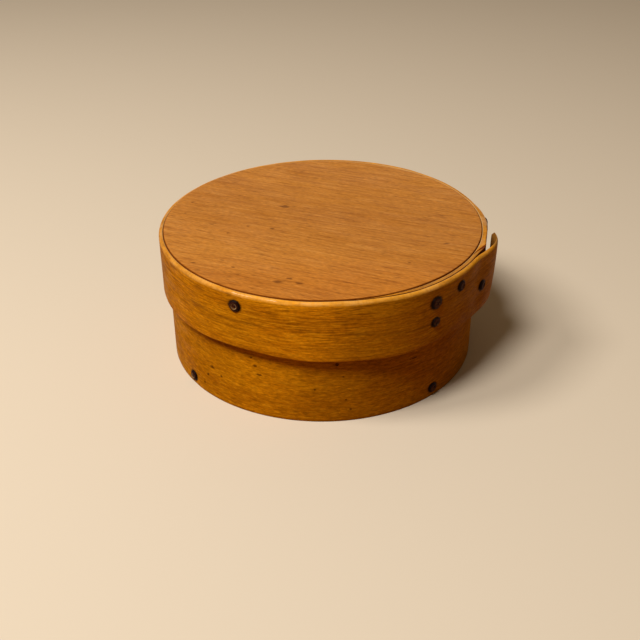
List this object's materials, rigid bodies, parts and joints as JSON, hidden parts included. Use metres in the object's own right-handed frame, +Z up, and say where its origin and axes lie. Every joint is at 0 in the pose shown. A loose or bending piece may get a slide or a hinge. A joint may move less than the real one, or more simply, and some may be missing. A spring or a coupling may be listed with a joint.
{
  "type": "round bentwood box",
  "caption": "Small round bentwood box with a lift-off lid: thin wooden bands lapped and tacked round flat boards.",
  "frame": {"origin": "where the axis of the box meets the surface that it stands on", "axes": "+Z up along the axis of the box; the free end of the lid's lap is on the +X side"},
  "size_m": [0.1335, 0.1308, 0.0532],
  "materials": {
    "band_wood": "amber varnish, satin",
    "board_wood": "amber varnish, satin",
    "tack_iron": "dark oxidised"
  },
  "bodies": {
    "box": {"box_band": "band_wood", "box_bottom": "board_wood", "box_bottom_tacks": "tack_iron", "box_lap_tacks": "tack_iron"},
    "lid": {"lid_band": "band_wood", "lid_top": "board_wood", "lid_rim_tacks": "tack_iron", "lid_lap_tacks": "tack_iron"}
  },
  "joints": [
    {"name": "lid_lift", "type": "slide", "parent": "box", "child": "lid", "axis": [0, 0, 1], "range_m": [0, 0.08]}
  ]
}
